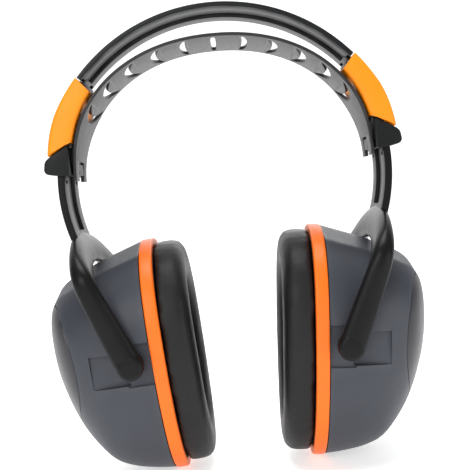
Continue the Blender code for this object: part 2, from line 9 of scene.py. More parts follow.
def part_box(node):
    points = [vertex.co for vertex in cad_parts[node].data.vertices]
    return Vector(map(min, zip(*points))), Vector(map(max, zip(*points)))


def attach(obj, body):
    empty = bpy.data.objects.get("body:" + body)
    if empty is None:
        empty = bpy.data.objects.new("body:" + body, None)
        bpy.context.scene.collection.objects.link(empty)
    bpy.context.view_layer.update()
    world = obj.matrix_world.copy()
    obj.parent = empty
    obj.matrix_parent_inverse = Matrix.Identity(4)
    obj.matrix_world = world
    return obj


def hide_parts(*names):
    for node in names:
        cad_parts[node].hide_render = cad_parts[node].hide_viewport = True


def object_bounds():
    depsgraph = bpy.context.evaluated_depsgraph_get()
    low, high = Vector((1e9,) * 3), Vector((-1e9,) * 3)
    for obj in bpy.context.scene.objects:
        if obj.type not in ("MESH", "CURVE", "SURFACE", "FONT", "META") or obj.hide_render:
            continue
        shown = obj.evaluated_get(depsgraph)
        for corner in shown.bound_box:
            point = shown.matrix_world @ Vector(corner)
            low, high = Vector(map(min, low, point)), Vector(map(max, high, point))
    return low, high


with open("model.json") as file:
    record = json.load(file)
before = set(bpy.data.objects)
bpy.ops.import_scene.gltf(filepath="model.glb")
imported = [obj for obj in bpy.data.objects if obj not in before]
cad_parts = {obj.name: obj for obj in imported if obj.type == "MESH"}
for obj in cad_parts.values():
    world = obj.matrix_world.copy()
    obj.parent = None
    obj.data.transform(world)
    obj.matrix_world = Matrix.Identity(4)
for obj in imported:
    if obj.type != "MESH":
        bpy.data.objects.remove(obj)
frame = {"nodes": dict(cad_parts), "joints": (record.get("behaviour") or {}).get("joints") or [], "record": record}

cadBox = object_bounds()
mm = 0.001
sides = {"left": -1, "right": 1}
joints = {joint["name"]: joint for joint in frame["joints"]}
mountAxes = {mount["name"]: mount["axis"] for mount in frame["record"]["mounts"]}

# Places that the frame gives, in millimetres. Shapes below are drawn in millimetres too.
slideZ = joints["right_stem_slide"]["pos_m"][2] / mm
pivotX = joints["right_cup_tilt"]["pos_m"][0] / mm
pivotZ = joints["right_cup_tilt"]["pos_m"][2] / mm
cupTilt = math.asin(mountAxes["right_seal_face"][2])
slideRise = 5.0  # from the headband's centre up to the stem's
bandZ = slideZ - slideRise
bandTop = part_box("outer_headband")[1].z / mm - bandZ
headBody = {"left": "headband", "right": "headband"}
cupBody = {"left": "left_cup", "right": "right_cup"}
yokeBody = {"left": "left_yoke", "right": "right_yoke"}

cameraLook = {
    "place": (0.0032, -0.420, bandZ * mm - 0.0058),
    "roll": math.radians(5.2),
    "lens": 70.8,
    "shift": (0.0012, -0.0785),
}


# Camera first, then the room

def makeCamera(look):
    data = bpy.data.cameras.new("camera")
    data.lens = look["lens"]
    data.sensor_width = 36
    data.shift_x, data.shift_y = look["shift"]
    data.clip_start, data.clip_end = 0.01, 20
    camera = bpy.data.objects.new("camera", data)
    camera.location = look["place"]
    camera.rotation_euler = (math.pi / 2, look["roll"], 0)
    bpy.context.scene.collection.objects.link(camera)
    bpy.context.scene.camera = camera


roomLook = {
    "floorColour": (0.9, 0.9, 0.9, 1), "floorGlow": 0.6, "floorDrop": 0.0005,
    "floorRoughness": 0.7, "floorHalf": 3.5, "front": -3.0, "sweep": 0.8, "sweepSteps": 12,
    "high": 3.2, "worldColour": (1.0, 1.0, 1.0, 1), "worldStrength": 0.26,
    "lights": (
        # name, place, size, watts
        ("keySoftbox", (-0.35, -0.95, 0.3), 0.45, 4.2),
        ("fillSoftbox", (0.8, -0.7, -0.05), 0.4, 1.9),
        ("topSoftbox", (0.0, -0.05, 0.8), 0.6, 9.0),
        ("backSoftbox", (0.1, 0.9, 0.35), 0.7, 2.0),
    ),
}


def makeRoom(look):
    low = cadBox[0].z - look["floorDrop"]
    mesh = bpy.data.meshes.new("floor")
    form = bmesh.new()
    sweep, steps = look["sweep"], look["sweepSteps"]
    profile = [(look["front"], low), (sweep, low)]
    for step in range(1, steps + 1):
        turn = math.pi / 2 * step / steps
        profile.append((sweep + sweep * math.sin(turn), low + sweep * (1 - math.cos(turn))))
    profile.append((2 * sweep, look["high"]))
    rows = [[form.verts.new((x, y, z)) for y, z in profile] for x in (-look["floorHalf"], look["floorHalf"])]
    for i in range(len(profile) - 1):
        form.faces.new((rows[0][i], rows[1][i], rows[1][i + 1], rows[0][i + 1]))
    form.to_mesh(mesh)
    form.free()
    mesh.shade_smooth()
    floor = bpy.data.objects.new("floor", mesh)
    bpy.context.scene.collection.objects.link(floor)
    material = bpy.data.materials.new("paleFloor")
    material.use_nodes = True
    shader = material.node_tree.nodes["Principled BSDF"]
    shader.inputs["Base Color"].default_value = look["floorColour"]
    shader.inputs["Roughness"].default_value = look["floorRoughness"]
    shader.inputs["Emission Color"].default_value = look["floorColour"]
    shader.inputs["Emission Strength"].default_value = look["floorGlow"]
    mesh.materials.append(material)

    world = bpy.data.worlds.new("softRoom")
    world.use_nodes = True
    background = world.node_tree.nodes["Background"]
    background.inputs["Color"].default_value = look["worldColour"]
    background.inputs["Strength"].default_value = look["worldStrength"]
    bpy.context.scene.world = world
    bpy.context.scene.view_settings.view_transform = "Standard"
    middle = (cadBox[0] + cadBox[1]) / 2
    for name, place, size, watts in look["lights"]:
        data = bpy.data.lights.new(name, "AREA")
        data.size = size
        data.energy = watts
        lamp = bpy.data.objects.new(name, data)
        lamp.location = place
        lamp.rotation_euler = (middle - Vector(place)).to_track_quat("-Z", "Y").to_euler()
        bpy.context.scene.collection.objects.link(lamp)


makeCamera(cameraLook)
makeRoom(roomLook)
print("camera and room made")


# Materials

def linkNodes(tree, *pairs):
    for outSocket, inSocket in pairs:
        tree.links.new(outSocket, inSocket)


def newMaterial(name):
    material = bpy.data.materials.new(name)
    material.use_nodes = True
    tree = material.node_tree
    place = tree.nodes.new("ShaderNodeTexCoord").outputs["Object"]
    return material, tree, tree.nodes["Principled BSDF"], place


def wireShader(tree, shader, colour, normal, rough=None):
    linkNodes(tree, (colour, shader.inputs["Base Color"]), (normal, shader.inputs["Normal"]))
    if rough:
        tree.links.new(rough, shader.inputs["Roughness"])


def noiseNode(tree, source, scale, detail=3.0, rough=0.5, stretch=None):
    node = tree.nodes.new("ShaderNodeTexNoise")
    node.inputs["Scale"].default_value = scale
    node.inputs["Detail"].default_value = detail
    node.inputs["Roughness"].default_value = rough
    if stretch:
        mapping = tree.nodes.new("ShaderNodeMapping")
        mapping.inputs["Scale"].default_value = stretch
        tree.links.new(source, mapping.inputs["Vector"])
        source = mapping.outputs["Vector"]
    tree.links.new(source, node.inputs["Vector"])
    return node.outputs["Fac"]


def rampNode(tree, source, stops):
    ramp = tree.nodes.new("ShaderNodeValToRGB")
    elements = ramp.color_ramp.elements
    while len(elements) < len(stops):
        elements.new(0.5)
    for element, (place, colour) in zip(elements, stops):
        element.position = place
        element.color = (*colour, 1)
    tree.links.new(source, ramp.inputs["Fac"])
    return ramp.outputs["Color"]


def rangeNode(tree, source, low, high, fromLow=0.3, fromHigh=0.7):
    node = tree.nodes.new("ShaderNodeMapRange")
    node.inputs["From Min"].default_value = fromLow
    node.inputs["From Max"].default_value = fromHigh
    node.inputs["To Min"].default_value = low
    node.inputs["To Max"].default_value = high
    tree.links.new(source, node.inputs["Value"])
    return node.outputs["Result"]


def bumpNode(tree, height, distance, strength=1.0, normal=None):
    node = tree.nodes.new("ShaderNodeBump")
    node.inputs["Distance"].default_value = distance
    node.inputs["Strength"].default_value = strength
    tree.links.new(height, node.inputs["Height"])
    if normal:
        tree.links.new(normal, node.inputs["Normal"])
    return node.outputs["Normal"]


def scaled(colour, factor):
    return tuple(min(1.0, part * factor) for part in colour)


# grain is how fine it is, grainDepth and ripple are depths in metres
plasticLook = {
    "bandCharcoal": {
        "colour": (0.009, 0.0098, 0.011), "spread": 0.12, "roughness": (0.35, 0.38),
        "density": 1.3, "grain": 5200, "grainDepth": 0.000001, "ripple": 0.0000015,
    },
    # Painted shade for the band's channel floor, darker than the band itself.
    "channelBlack": {
        "colour": (0.006, 0.006, 0.007), "spread": 0.2, "roughness": (0.4, 0.5),
        "grain": 4200, "grainDepth": 0.00002,
    },
    "sleeveAmber": {
        "colour": (0.98, 0.27, 0.004), "spread": 0.05, "roughness": (0.38, 0.47), "gloss": 0.3,
        "grain": 4800, "grainDepth": 0.000006,
    },
    "ringOrange": {
        "colour": (0.96, 0.158, 0.008), "spread": 0.05, "roughness": (0.38, 0.47), "gloss": 0.3,
        "grain": 4800, "grainDepth": 0.000006,
    },
    "yokeBlack": {
        "colour": (0.0068, 0.007, 0.0072), "spread": 0.2, "roughness": (0.33, 0.38), "gloss": 0.4,
        "density": 1.27, "grain": 4600, "grainDepth": 0.000006,
    },
    "housingBlack": {
        "colour": (0.007, 0.0078, 0.0076), "spread": 0.2, "roughness": (0.36, 0.46), "gloss": 0.4,
        "density": 1.33, "grain": 3600, "grainDepth": 0.00001,
    },
    "cupSlate": {
        "colour": (0.043, 0.047, 0.059), "spread": 0.08, "roughness": (0.42, 0.5), "gloss": 0.32,
        "grain": 3000, "grainDepth": 0.000012,
    },
    "panelViolet": {
        "colour": (0.026, 0.0265, 0.032), "spread": 0.1, "roughness": (0.33, 0.42), "gloss": 0.35,
        "grain": 3400, "grainDepth": 0.000008,
    },
    "strapGrey": {
        "colour": (0.017, 0.017, 0.0178), "spread": 0.2, "roughness": (0.38, 0.47), "gloss": 0.34,
        "grain": 2600, "grainDepth": 0.000018,
    },
    "plateBlack": {
        "colour": (0.02, 0.02, 0.021), "spread": 0.2, "roughness": (0.45, 0.55),
        "grain": 3000, "grainDepth": 0.00003,
    },
}


# Moulded plastic: slow colour drift, spark-eroded grain, handled-smooth patches and paler edges.
def makePlastic(name):
    look = plasticLook[name]
    material, tree, shader, place = newMaterial(name)
    drift = noiseNode(tree, place, 55, 4, 0.55)
    colour = look["colour"]
    low, high = scaled(colour, 1 - look["spread"]), scaled(colour, 1 + look["spread"])
    base = rampNode(tree, drift, ((0.3, low), (0.55, colour), (0.78, high)))
    wear = tree.nodes.new("ShaderNodeNewGeometry").outputs["Pointiness"]
    edge = rangeNode(tree, wear, 0.0, 0.12, 0.52, 0.62)
    paler = tree.nodes.new("ShaderNodeMix")
    paler.data_type = "RGBA"
    paler.inputs["B"].default_value = (*scaled(high, 1.7), 1)
    grain = noiseNode(tree, place, look["grain"], 2, 0.6)
    scuff = noiseNode(tree, place, 420, 5, 0.7, (1, 1, 0.35))
    rough = rangeNode(tree, scuff, *look["roughness"])
    fine = bumpNode(tree, grain, look["grainDepth"])
    broad = bumpNode(tree, drift, look.get("ripple", 0.00001), 1.0, fine)
    linkNodes(
        tree,
        (edge, paler.inputs["Factor"]),
        (base, paler.inputs["A"]),
    )
    wireShader(tree, shader, paler.outputs["Result"], broad, rough)
    shader.inputs["Specular IOR Level"].default_value = look.get("gloss", 0.5)
    shader.inputs["IOR"].default_value = look.get("density", 1.5)
    return material


vinylLook = {
    "tones": ((0.3, (0.006, 0.006, 0.007)), (0.55, (0.009, 0.009, 0.0095)), (0.8, (0.013, 0.013, 0.014))),
    "pebbles": 1500, "pebbleDepth": 0.00005, "pulls": 160, "pullDepth": 0.00025,
    "roughness": (0.42, 0.56), "gloss": 0.26,
}
foamLook = {
    # The darker first tone is painted shade in the pores' pits.
    "tones": ((0.05, (0.012, 0.012, 0.013)), (0.6, (0.07, 0.07, 0.073))),
    "pores": 900, "poreDepth": 0.0004, "lumps": 260, "lumpDepth": 0.0006, "roughness": 0.95,
}
steelLook = {
    "tones": ((0.3, (0.42, 0.42, 0.44)), (0.7, (0.66, 0.66, 0.68))),
    "lines": 900, "lineDepth": 0.00002, "roughness": (0.22, 0.4),
}


# Soft cushion skin: pebbled grain over slow pulls.
def makeVinyl(look):
    material, tree, shader, place = newMaterial("cushionVinyl")
    drift = noiseNode(tree, place, 70, 4, 0.6)
    base = rampNode(tree, drift, look["tones"])
    pebble = tree.nodes.new("ShaderNodeTexVoronoi")
    pebble.inputs["Scale"].default_value = look["pebbles"]
    tree.links.new(place, pebble.inputs["Vector"])
    pulls = noiseNode(tree, place, look["pulls"], 3, 0.5, (1, 1, 0.4))
    fine = bumpNode(tree, pebble.outputs["Distance"], look["pebbleDepth"])
    broad = bumpNode(tree, pulls, look["pullDepth"], 0.6, fine)
    rough = rangeNode(tree, drift, *look["roughness"])
    wireShader(tree, shader, base, broad, rough)
    shader.inputs["Specular IOR Level"].default_value = look["gloss"]
    return material


# Open-cell foam: pores at two sizes, no gloss, and painted shade darkening the pores' pits.
def makeFoam(look):
    material, tree, shader, place = newMaterial("acousticFoam")
    pores = tree.nodes.new("ShaderNodeTexVoronoi")
    pores.inputs["Scale"].default_value = look["pores"]
    tree.links.new(place, pores.inputs["Vector"])
    lumps = noiseNode(tree, place, look["lumps"], 4, 0.7)
    # Painted shade: the ramp darkens the pits of the pores.
    base = rampNode(tree, pores.outputs["Distance"], look["tones"])
    fine = bumpNode(tree, pores.outputs["Distance"], look["poreDepth"])
    broad = bumpNode(tree, lumps, look["lumpDepth"], 0.7, fine)
    wireShader(tree, shader, base, broad)
    shader.inputs["Roughness"].default_value = look["roughness"]
    return material


# Rolled spring steel with its grain along the leaf.
def makeSteel(look):
    material, tree, shader, place = newMaterial("springSteel")
    lines = noiseNode(tree, place, look["lines"], 3, 0.6, (1, 0.05, 1))
    base = rampNode(tree, lines, look["tones"])
    rough = rangeNode(tree, lines, *look["roughness"])
    bump = bumpNode(tree, lines, look["lineDepth"])
    wireShader(tree, shader, base, bump, rough)
    shader.inputs["Metallic"].default_value = 1.0
    return material


finishes = {name: makePlastic(name) for name in plasticLook}
finishes["cushionVinyl"] = makeVinyl(vinylLook)
finishes["acousticFoam"] = makeFoam(foamLook)
finishes["springSteel"] = makeSteel(steelLook)
print("materials made:", len(finishes))


# Mesh helpers

# The object has its place in its mesh, from a form in millimetres about the frame's origin.
def toObject(name, form, finish, smoothAngle=30):
    bmesh.ops.remove_doubles(form, verts=form.verts, dist=0.0005)
    bmesh.ops.recalc_face_normals(form, faces=form.faces)
    bmesh.ops.scale(form, vec=(mm, mm, mm), verts=form.verts)
    mesh = bpy.data.meshes.new(name)
    form.to_mesh(mesh)
    form.free()
    if finish:
        mesh.materials.append(finishes[finish])
    piece = bpy.data.objects.new(name, mesh)
    bpy.context.scene.collection.objects.link(piece)
    smooth(piece, smoothAngle)
    return piece


def smooth(piece, angle=30):
    piece.data.shade_smooth()
    piece.data.set_sharp_from_angle(angle=math.radians(angle))


# Turns the piece's modifiers into its plain mesh.
def bake(piece, angle=30):
    bpy.context.view_layer.update()
    graph = bpy.context.evaluated_depsgraph_get()
    mesh = bpy.data.meshes.new_from_object(piece.evaluated_get(graph))
    mesh.name = piece.name
    piece.modifiers.clear()
    piece.data = mesh
    if angle:
        smooth(piece, angle)
    return piece


# Cuts the piece with each cutter in turn and removes the cutters.
def cut(piece, *cutters, operation="DIFFERENCE"):
    for cutter in cutters:
        modifier = piece.modifiers.new("cut", "BOOLEAN")
        modifier.operation = operation
        modifier.object = cutter
        bake(piece)
        bpy.data.objects.remove(cutter)
    return piece


def bevelEdges(piece, width, segments=3, angle=35):
    modifier = piece.modifiers.new("edges", "BEVEL")
    modifier.width = width * mm
    modifier.segments = segments
    modifier.limit_method = "ANGLE"
    modifier.angle_limit = math.radians(angle)
    return bake(piece)


# Faces between rings of points, joined end to end or capped.
def skin(rings, closed=False):
    form = bmesh.new()
    rows = [[form.verts.new(point) for point in ring] for ring in rings]
    pairs = list(zip(rows, rows[1:]))
    if closed:
        pairs.append((rows[-1], rows[0]))
    else:
        form.faces.new(rows[0])
        form.faces.new(rows[-1])
    for first, second in pairs:
        for i in range(len(first)):
            j = (i + 1) % len(first)
            form.faces.new((first[i], first[j], second[j], second[i]))
    return form


def boxForm(low, high):
    form = bmesh.new()
    size = [b - a for a, b in zip(low, high)]
    middle = [(a + b) / 2 for a, b in zip(low, high)]
    bmesh.ops.create_cube(form, size=1, matrix=Matrix.Translation(middle) @ Matrix.Diagonal((*size, 1)))
    return form


def spread(first, last, count):
    return [first + (last - first) * i / (count - 1) for i in range(count)]


# Catmull-Rom points through stations, each a tuple of numbers.
def smoothThrough(stations, steps):
    ends = [stations[0], *stations, stations[-1]]
    points = []
    for a, b, c, d in zip(ends, ends[1:], ends[2:], ends[3:]):
        for i in range(steps):
            t = i / steps
            points.append(tuple(
                0.5 * (2 * q + (r - p) * t + (2 * p - 5 * q + 4 * r - s) * t**2
                       + (3 * q - p - 3 * r + s) * t**3)
                for p, q, r, s in zip(a, b, c, d)
            ))
    return [*points, stations[-1]]


def onArc(radius, angle, y, centreZ):
    turn = math.radians(angle)
    return Vector((radius * math.sin(turn), y, centreZ + radius * math.cos(turn)))


def arcPlace(radius, angle, y, centreZ):
    turn = Matrix.Rotation(math.radians(angle), 4, "Y")
    return Matrix.Translation(onArc(radius, angle, y, centreZ)) @ turn


def boxOnArc(half, *place):
    form = boxForm([-reach for reach in half], half)
    bmesh.ops.transform(form, matrix=arcPlace(*place), verts=form.verts)
    return form


# A closed 2D outline with each corner rounded.
def roundedSection(corners, radius, steps=3):
    outline = []
    count = len(corners)
    for i, corner in enumerate(corners):
        here = Vector(corner)
        back = Vector(corners[i - 1]) - here
        ahead = Vector(corners[(i + 1) % count]) - here
        reach = min(radius, back.length * 0.45, ahead.length * 0.45)
        start, end = here + back.normalized() * reach, here + ahead.normalized() * reach
        for k in range(steps + 1):
            t = k / steps
            outline.append(start * (1 - t) ** 2 + here * 2 * t * (1 - t) + end * t**2)
    return outline


# Headband

bandLook = {
    "inner": bandTop - 2.5,
    "floor": bandTop - 1.1,
    "halfWidth": 17.5, "channelHalf": 7.5, "end": 49.0, "ribWidth": 1.4, "ribStep": 0.2,
    "edgeDrop": 0.45, "crownDrop": 0.1, "draft": 0.4, "rounding": 0.28, "steps": 120,
    "tongue": {"top": 1.8, "inner": 3.9, "halfWidth": 15.5, "end": 56.0},
    "window": {"along": 1.5, "across": 7.0, "deep": 1.5, "middle": 12.2, "fromEnd": -0.45},
}


def bandRing(angle, inner, floor, top=bandTop, half=bandLook["halfWidth"]):
    look = bandLook
    channel, edge, crown, draft = (look[name] for name in ("channelHalf", "edgeDrop", "crownDrop", "draft"))
    corners = (
        (top - edge, -half), (top - crown, -half * 0.5), (top, 0),
        (top - crown, half * 0.5), (top - edge, half),
        (inner, half), (inner, channel), (floor, channel - draft),
        (floor, -channel + draft), (inner, -channel), (inner, -half),
    )
    outline = roundedSection(corners, look["rounding"])
    return [onArc(radius, angle, y, bandZ) for radius, y in outline]


def makeBand():
    look = bandLook
    ribStart = look["end"] - look["ribWidth"]
    half = [(angle, look["inner"], look["floor"]) for angle in spread(0, ribStart - 0.25, look["steps"] // 2)]
    half += [(angle, look["inner"], look["inner"] - look["ribStep"]) for angle in (ribStart, look["end"])]
    tongue = look["tongue"]
    inner = bandTop - tongue["inner"]
    for angle in spread(look["end"] + 0.05, tongue["end"], 8):
        half.append((angle, inner, inner - 0.1, bandTop - tongue["top"], tongue["halfWidth"]))
    stations = [(-first, *rest) for first, *rest in reversed(half[1:])] + half
    band = toObject("outerHeadband", skin([bandRing(*s) for s in stations]), "bandCharcoal")
    # The second material is painted shade for the channel's floor.
    band.data.materials.append(finishes["channelBlack"])
    window = look["window"]
    half = (window["along"] / 2, window["across"] / 2, window["deep"])
    for side in sides.values():
        for y in (-window["middle"], window["middle"]):
            angle = side * (look["end"] + window["fromEnd"])
            form = boxOnArc(half, look["inner"] - look["ribStep"], angle, y, bandZ)
            cut(band, toObject("windowCutter", form, None))
    paintChannelShade(band)
    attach(band, "headband")
    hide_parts("outer_headband")


# Painted shade: the channel's floor gets a darker material, standing in for the shade down in the channel.
def paintChannelShade(band):
    look = bandLook
    for polygon in band.data.polygons:
        centre = polygon.center / mm
        radius = math.hypot(centre.x, centre.z - bandZ)
        across = abs(centre.y) < look["channelHalf"] + 0.1
        deep = look["inner"] + 0.25 < radius < look["floor"] + 0.3
        polygon.material_index = 1 if across and deep else 0


strapLook = {
    "apex": 66.2, "spring": 8.0, "halfSpan": 66.5, "power": 2.15, "thickness": 1.5,
    "halfWidth": 21.0, "endHalfWidth": 14.0, "taper": 34.0, "steps": 150,
    "archPoints": 1201, "notchHalf": 6.0, "notchHeight": 8.5, "linePoints": 300,
    "row": {
        "slots": 11, "pitch": 13.4, "width": 2.3, "length": 34.0, "depth": 9.0,
        "bow": 6.0, "ease": 3.5, "taper": 0.45, "widening": 0.12,
    },
    "edge": 0.28,
}


# Points of the strap's outer face, from one end over the head to the other.
def strapArch():
    look = strapLook
    points = []
    for share in spread(0.0, 1.0, look["archPoints"]):
        turn = math.pi * (share - 0.5)
        x = look["halfSpan"] * math.copysign(abs(math.sin(turn)) ** (2 / look["power"]), turn)
        z = (look["apex"] - look["spring"]) * max(math.cos(turn), 0.0) ** (2 / look["power"])
        points.append(Vector((x, 0, bandZ + look["spring"] + z)))
    return points


# Points evenly spaced along a line of points, with the tangent at each.
def evenly(points, count):
    lengths = [0.0]
    for a, b in zip(points, points[1:]):
        lengths.append(lengths[-1] + (b - a).length)
    found, i = [], 1
    for along in spread(0, lengths[-1], count):
        while i < len(points) - 1 and lengths[i] < along:
            i += 1
        share = (along - lengths[i - 1]) / (lengths[i] - lengths[i - 1])
        found.append((points[i - 1].lerp(points[i], share), (points[i] - points[i - 1]).normalized()))
    return found, lengths[-1]


def strapSolid():
    look = strapLook
    stations, total = evenly(strapArch(), look["steps"])
    rings = []
    for i, (place, tangent) in enumerate(stations):
        along = total * i / (look["steps"] - 1)
        share = min(min(along, total - along) / look["taper"], 1.0)
        half = look["endHalfWidth"] + (look["halfWidth"] - look["endHalfWidth"]) * share**2 * (3 - 2 * share)
        inward = Vector((tangent.z, 0, -tangent.x))
        thick = look["thickness"]
        outline = roundedSection(((0, -half), (0, half), (thick, half), (thick, -half)), 0.45)
        rings.append([place + inward * depth + Vector((0, y, 0)) for depth, y in outline])
    return toObject("innerStrap", skin(rings), "strapGrey")


slotInputs = {
    "Geometry": "Geometry", "Arch": "Object", "Slots": "Int", "Pitch": "Float", "Width": "Float",
    "Length": "Float", "Depth": "Float", "Bow": "Float", "Ease": "Float", "Taper": "Float",
    "Widening": "Float", "Finish": "Material",
}


# Cuts a row of slots: one cutter for each, spaced along a line and bowed more towards the ends.
def slotTree():
    tree = bpy.data.node_groups.new("strapSlots", "GeometryNodeTree")
    tree.interface.new_socket("Geometry", in_out="OUTPUT", socket_type="NodeSocketGeometry")
    names = {}
    for name, kind in slotInputs.items():
        socket = tree.interface.new_socket(name, in_out="INPUT", socket_type=f"NodeSocket{kind}")
        names[name] = socket.identifier
    new = tree.nodes.new
    link = tree.links.new
    given, leave = new("NodeGroupInput").outputs, new("NodeGroupOutput")

    def maths(kind, a, b=None):
        node = new("ShaderNodeMath")
        node.operation = kind
        for socket, value in zip(node.inputs, (a, b)):
            if isinstance(value, (int, float)):
                socket.default_value = value
            elif value is not None:
                link(value, socket)
        return node.outputs[0]

    def vectors(kind, a, b):
        node = new("ShaderNodeVectorMath")
        node.operation = kind
        link(a, node.inputs[0])
        link(b, node.inputs["Scale" if kind == "SCALE" else 1])
        return node.outputs[0]

    arch = new("GeometryNodeObjectInfo")
    toCurve = new("GeometryNodeMeshToCurve")
    linkNodes(
        tree, (given["Arch"], arch.inputs["Object"]), (arch.outputs["Geometry"], toCurve.inputs[0])
    )
    length = new("GeometryNodeCurveLength")
    link(toCurve.outputs[0], length.inputs[0])
    row = new("GeometryNodeMeshLine")
    link(given["Slots"], row.inputs["Count"])
    index = new("GeometryNodeInputIndex").outputs[0]
    middle = maths("MULTIPLY", maths("SUBTRACT", given["Slots"], 1), 0.5)
    number = maths("SUBTRACT", index, middle)
    fromMiddle = maths("MULTIPLY", number, given["Pitch"])
    along = maths("ADD", maths("MULTIPLY", length.outputs[0], 0.5), fromMiddle)
    sample = new("GeometryNodeSampleCurve")
    sample.mode = "LENGTH"
    linkNodes(tree, (toCurve.outputs[0], sample.inputs["Curves"]), (along, sample.inputs["Length"]))
    setPlace = new("GeometryNodeSetPosition")
    linkNodes(
        tree,
        (row.outputs[0], setPlace.inputs["Geometry"]),
        (sample.outputs["Position"], setPlace.inputs["Position"]),
    )
    storeBow = new("GeometryNodeStoreNamedAttribute")
    storeBow.data_type = "FLOAT_VECTOR"
    storeBow.inputs["Name"].default_value = "bow"
    eased = maths("TANH", maths("DIVIDE", number, given["Ease"]))
    bowVector = vectors("SCALE", sample.outputs["Tangent"], maths("MULTIPLY", eased, given["Bow"]))
    linkNodes(tree, (setPlace.outputs[0], storeBow.inputs["Geometry"]), (bowVector, storeBow.inputs["Value"]))
    block = new("GeometryNodeMeshCube")
    size = new("ShaderNodeCombineXYZ")
    block.inputs["Vertices Y"].default_value = 15  # enough to bow smoothly
    linkNodes(
        tree,
        (given["Width"], size.inputs["X"]),
        (given["Length"], size.inputs["Y"]),
        (given["Depth"], size.inputs["Z"]),
        (size.outputs[0], block.inputs["Size"]),
    )
    y = new("ShaderNodeSeparateXYZ")
    link(new("GeometryNodeInputPosition").outputs[0], y.inputs[0])
    reach = maths("DIVIDE", y.outputs["Y"], maths("MULTIPLY", given["Length"], 0.5))
    square = maths("MULTIPLY", reach, reach)
    narrow = new("ShaderNodeCombineXYZ")
    thinner = maths("MULTIPLY", maths("POWER", square, 2.5), given["Taper"])
    link(maths("MULTIPLY", y.outputs["X"], maths("MULTIPLY", thinner, -1)), narrow.inputs["X"])
    taper = new("GeometryNodeSetPosition")
    linkNodes(
        tree, (block.outputs["Mesh"], taper.inputs["Geometry"]), (narrow.outputs[0], taper.inputs["Offset"])
    )
    align = new("FunctionNodeAlignRotationToVector")
    align.axis = "X"
    align.pivot_axis = "Y"
    link(sample.outputs["Tangent"], align.inputs["Vector"])
    wider = new("ShaderNodeCombineXYZ")
    wider.inputs["Y"].default_value = wider.inputs["Z"].default_value = 1.0
    steps = maths("MULTIPLY", maths("ABSOLUTE", number), given["Widening"])
    link(maths("ADD", steps, 1.0), wider.inputs["X"])
    instances = new("GeometryNodeInstanceOnPoints")
    realize = new("GeometryNodeRealizeInstances")
    linkNodes(
        tree,
        (storeBow.outputs[0], instances.inputs["Points"]),
        (taper.outputs[0], instances.inputs["Instance"]),
        (align.outputs[0], instances.inputs["Rotation"]),
        (wider.outputs[0], instances.inputs["Scale"]),
        (instances.outputs[0], realize.inputs[0]),
    )
    readBow = new("GeometryNodeInputNamedAttribute")
    readBow.data_type = "FLOAT_VECTOR"
    readBow.inputs["Name"].default_value = "bow"
    bend = vectors("SCALE", readBow.outputs["Attribute"], maths("SUBTRACT", 0.55, square))
    bowed = new("GeometryNodeSetPosition")
    linkNodes(tree, (realize.outputs[0], bowed.inputs["Geometry"]), (bend, bowed.inputs["Offset"]))
    boolean = new("GeometryNodeMeshBoolean")
    boolean.operation = "DIFFERENCE"
    boolean.solver = "EXACT"
    paint = new("GeometryNodeSetMaterial")
    whole = new("GeometryNodeRealizeInstances")
    linkNodes(
        tree,
        (given["Geometry"], boolean.inputs["Mesh 1"]),
        (bowed.outputs[0], boolean.inputs["Mesh 2"]),
        (boolean.outputs["Mesh"], whole.inputs[0]),
        (whole.outputs[0], paint.inputs["Geometry"]),
        (given["Finish"], paint.inputs["Material"]),
        (paint.outputs[0], leave.inputs[0]),
    )
    return tree, names


def lineObject(name, points):
    form = bmesh.new()
    line = [form.verts.new(point) for point in points]
    for a, b in zip(line, line[1:]):
        form.edges.new((a, b))
    return toObject(name, form, None)


def cutSlots(piece, tree, names, line, look, finish):
    modifier = piece.modifiers.new(tree.name, "NODES")
    modifier.node_group = tree
    modifier[names["Arch"]] = line
    modifier[names["Finish"]] = finishes[finish]
    for name in ("Slots", "Ease", "Taper", "Widening"):
        modifier[names[name]] = look[name.lower()]
    for name in ("Pitch", "Width", "Length", "Depth", "Bow"):
        modifier[names[name]] = look[name.lower()] * mm
    bake(piece)
    bpy.data.objects.remove(line)


def makeStrap(tree, names):
    look = strapLook
    strap = strapSolid()
    notchTop = bandZ + look["spring"] + look["notchHeight"]
    for side in sides.values():
        x = sorted((side * (look["halfSpan"] - 4), side * (look["halfSpan"] + 2)))
        low = (x[0], -look["notchHalf"], notchTop - 14)
        cut(strap, toObject("notchCutter", boxForm(low, (x[1], look["notchHalf"], notchTop)), None))
    line = lineObject("strapArch", [place for place, _ in evenly(strapArch(), look["linePoints"])[0]])
    cutSlots(strap, tree, names, line, look["row"], "strapGrey")
    bevelEdges(strap, look["edge"], 2, 50)
    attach(strap, "headband")
    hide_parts("inner_strap")


# The same piece for the other side of the head.
def mirrored(piece, name):
    mesh = piece.data.copy()
    mesh.name = name
    mesh.transform(Matrix.Diagonal((-1, 1, 1, 1)))
    mesh.flip_normals()
    other = bpy.data.objects.new(name, mesh)
    bpy.context.scene.collection.objects.link(other)
    return other


# Lets the broad faces set the shading, so that they look flat between their rounded edges.
def flattenShading(piece):
    modifier = piece.modifiers.new("flat", "WEIGHTED_NORMAL")
    modifier.keep_sharp = True
    modifier.weight = 90
    bake(piece, None)


# Fixes a finished piece to its body, in place of the plain nodes that it stands for.
def settle(piece, body, nodes):
    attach(piece, body)
    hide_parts(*nodes)


# Settles the right-hand piece and a mirrored left-hand one.
def settlePair(rightPiece, label, bodies, slotName, *nodes):
    leftPiece = mirrored(rightPiece, f"left{label}")
    for side, piece in (("right", rightPiece), ("left", leftPiece)):
        settle(piece, bodies[side], [f"{side}_{node}" for node in nodes])
    return leftPiece


# Sleeves

sleeveLook = {
    "outer": bandTop,
    "halfWidth": 19.5, "wall": 1.5, "innerWall": 1.1, "tunnelHalf": 17.85,
    "top": (49.3, 50.3), "bottom": (75.6, 69.4), "bend": 60.0, "drawIn": 2.9, "corner": 2.2,
    "edge": 0.3, "steps": 42,
    "lip": {"angle": 52.6, "half": 5.0, "across": 2.6, "height": 0.9},
}


